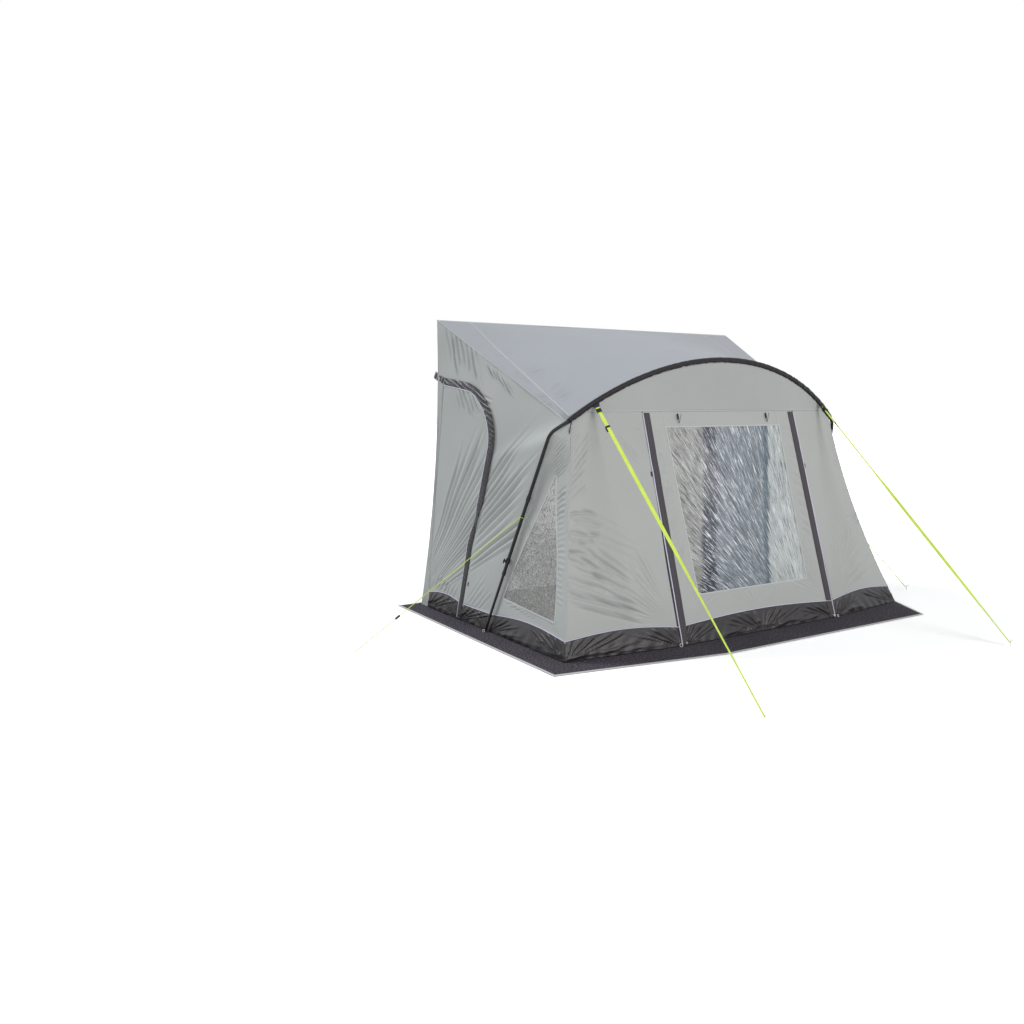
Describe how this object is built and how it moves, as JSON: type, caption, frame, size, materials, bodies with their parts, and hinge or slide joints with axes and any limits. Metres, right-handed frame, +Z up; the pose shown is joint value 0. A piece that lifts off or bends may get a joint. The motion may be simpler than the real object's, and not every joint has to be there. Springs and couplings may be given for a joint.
{
  "type": "caravan awning",
  "caption": "Poled porch awning for a caravan with an arched front, curved side doors, clear windows, mud walls, storm straps, guy lines and carpet.",
  "frame": {"origin": "on the ground, under the middle of the awning's box without its straps, guys and pegs", "axes": "+X along the caravan, to the right seen from the front; +Y from the front wall towards the caravan, whose side closes the open rear; +Z up"},
  "size_m": [5.1095, 3.5465, 2.3825],
  "materials": {
    "roof_cloth": "bluish grey coated polyester",
    "front_cloth": "light grey coated polyester",
    "side_cloth": "darker grey coated polyester",
    "window_film": "clear flexible film, slightly rippled",
    "mud_cloth": "black-purple coated cloth with a soft sheen",
    "cover_cloth": "black ruched polyester",
    "sleeve_cloth": "black woven sleeve cloth",
    "tab_cloth": "dark purple-black reinforced cloth",
    "coated_steel": "black powder coat",
    "black_plastic": "moulded black plastic",
    "zip_metal": "black coated zip slider",
    "signal_webbing": "neon yellow-green woven webbing and cord",
    "peg_steel": "plain galvanised steel",
    "carpet_cloth": "charcoal ribbed carpet with a light bound edge",
    "bead_cord": "piping cord in light grey cloth"
  },
  "bodies": {
    "shell": {"roof_panel": "roof_cloth", "front_valance": "front_cloth", "front_corner_left": "front_cloth", "front_corner_right": "front_cloth", "side_wall_left": "side_cloth", "side_wall_right": "side_cloth", "side_gusset_left": "side_cloth", "side_gusset_right": "side_cloth", "side_window_left": "window_film", "side_window_right": "window_film", "mud_wall_left": "mud_cloth", "mud_wall_right": "mud_cloth", "pole_sleeve": "sleeve_cloth", "strap_tab_left": "tab_cloth", "strap_tab_right": "tab_cloth", "arch_pole": "coated_steel", "corner_pole_left": "coated_steel", "corner_pole_right": "coated_steel", "upper_leg_left": "coated_steel", "upper_leg_right": "coated_steel", "pole_collar_left": "black_plastic", "pole_collar_right": "black_plastic", "leg_clamp_left": "black_plastic", "leg_clamp_right": "black_plastic", "storm_strap_left": "signal_webbing", "storm_strap_right": "signal_webbing", "guy_line_left": "signal_webbing", "guy_line_right": "signal_webbing", "strap_peg_left": "peg_steel", "strap_peg_right": "peg_steel", "guy_peg_left": "peg_steel", "guy_peg_right": "peg_steel", "carpet": "carpet_cloth", "rail_bead": "bead_cord"},
    "front_door": {"front_panel": "front_cloth", "front_window": "window_film", "front_mud_flap": "mud_cloth", "front_zip_cover_left": "cover_cloth", "front_zip_cover_right": "cover_cloth"},
    "door_left": {"side_door_left": "side_cloth", "door_mud_flap_left": "mud_cloth", "side_zip_cover_left": "cover_cloth"},
    "door_right": {"side_door_right": "side_cloth", "door_mud_flap_right": "mud_cloth", "side_zip_cover_right": "cover_cloth"},
    "lower_leg_left": {"lower_leg_left": "coated_steel"},
    "clamp_knob_left": {"clamp_knob_left": "black_plastic"},
    "front_zip_slider_left": {"front_zip_slider_left": "zip_metal"},
    "side_zip_slider_left": {"side_zip_slider_left": "zip_metal"},
    "toggle_left": {"toggle_left": "black_plastic"},
    "lower_leg_right": {"lower_leg_right": "coated_steel"},
    "clamp_knob_right": {"clamp_knob_right": "black_plastic"},
    "front_zip_slider_right": {"front_zip_slider_right": "zip_metal"},
    "side_zip_slider_right": {"side_zip_slider_right": "zip_metal"},
    "toggle_right": {"toggle_right": "black_plastic"},
    "strap_buckle_left": {"strap_buckle_left": "black_plastic"},
    "guy_runner_left": {"guy_runner_left": "black_plastic"},
    "strap_buckle_right": {"strap_buckle_right": "black_plastic"},
    "guy_runner_right": {"guy_runner_right": "black_plastic"}
  },
  "joints": [
    {"name": "front_door_swing", "type": "hinge", "parent": "shell", "child": "front_door", "pos_m": [0, -0.45787, 1.63687], "axis": [-1, 0, 0], "range_deg": [0, 80]},
    {"name": "door_left_swing", "type": "hinge", "parent": "shell", "child": "door_left", "pos_m": [-1.72577, 1.04762, 0.92409], "axis": [-0.0837, 0.0228, -0.9962], "range_deg": [0, 100]},
    {"name": "door_right_swing", "type": "hinge", "parent": "shell", "child": "door_right", "pos_m": [1.72281, 1.04816, 0.92213], "axis": [-0.087, -0.0222, 0.996], "range_deg": [0, 100]},
    {"name": "leg_left_telescope", "type": "slide", "parent": "shell", "child": "lower_leg_left", "axis": [0.1738, -0.289, 0.9414], "range_m": [0, 0.24]},
    {"name": "clamp_knob_left_turn", "type": "hinge", "parent": "shell", "child": "clamp_knob_left", "pos_m": [-1.71111, -0.04991, 0.55998], "axis": [-0.9848, -0.051, 0.1661], "range_deg": [0, 270]},
    {"name": "front_zip_left_slide", "type": "slide", "parent": "shell", "child": "front_zip_slider_left", "axis": [0.0076, 0.2912, 0.9566], "range_m": [-0.95, 0.38]},
    {"name": "side_zip_left_slide", "type": "slide", "parent": "shell", "child": "side_zip_slider_left", "axis": [0.1323, -0.1636, 0.9776], "range_m": [-0.12, 0.9]},
    {"name": "toggle_left_swing", "type": "hinge", "parent": "front_door", "child": "toggle_left", "pos_m": [-0.46209, -0.47044, 1.61892], "axis": [-1, 0, 0], "range_deg": [0, 60]},
    {"name": "leg_right_telescope", "type": "slide", "parent": "shell", "child": "lower_leg_right", "axis": [-0.2187, -0.2864, 0.9328], "range_m": [0, 0.24]},
    {"name": "clamp_knob_right_turn", "type": "hinge", "parent": "shell", "child": "clamp_knob_right", "pos_m": [1.68313, -0.05031, 0.56127], "axis": [0.9758, -0.0642, 0.2091], "range_deg": [0, 270]},
    {"name": "front_zip_right_slide", "type": "slide", "parent": "shell", "child": "front_zip_slider_right", "axis": [-0.0076, 0.2912, 0.9566], "range_m": [-0.95, 0.38]},
    {"name": "side_zip_right_slide", "type": "slide", "parent": "shell", "child": "side_zip_slider_right", "axis": [-0.1572, -0.1609, 0.9744], "range_m": [-0.12, 0.9]},
    {"name": "toggle_right_swing", "type": "hinge", "parent": "front_door", "child": "toggle_right", "pos_m": [0.46209, -0.47044, 1.61892], "axis": [-1, 0, 0], "range_deg": [0, 60]},
    {"name": "strap_left_adjust", "type": "slide", "parent": "shell", "child": "strap_buckle_left", "axis": [-0.0922, -0.7415, -0.6646], "range_m": [0, 0.5]},
    {"name": "guy_left_adjust", "type": "slide", "parent": "shell", "child": "guy_runner_left", "axis": [-0.8054, 0.1307, -0.5782], "range_m": [-0.5, 0.28]},
    {"name": "strap_right_adjust", "type": "slide", "parent": "shell", "child": "strap_buckle_right", "axis": [0.0025, -0.7168, -0.6973], "range_m": [0, 0.5]},
    {"name": "guy_right_adjust", "type": "slide", "parent": "shell", "child": "guy_runner_right", "axis": [0.553, -0.3715, -0.7458], "range_m": [-0.4, 0.45]}
  ]
}
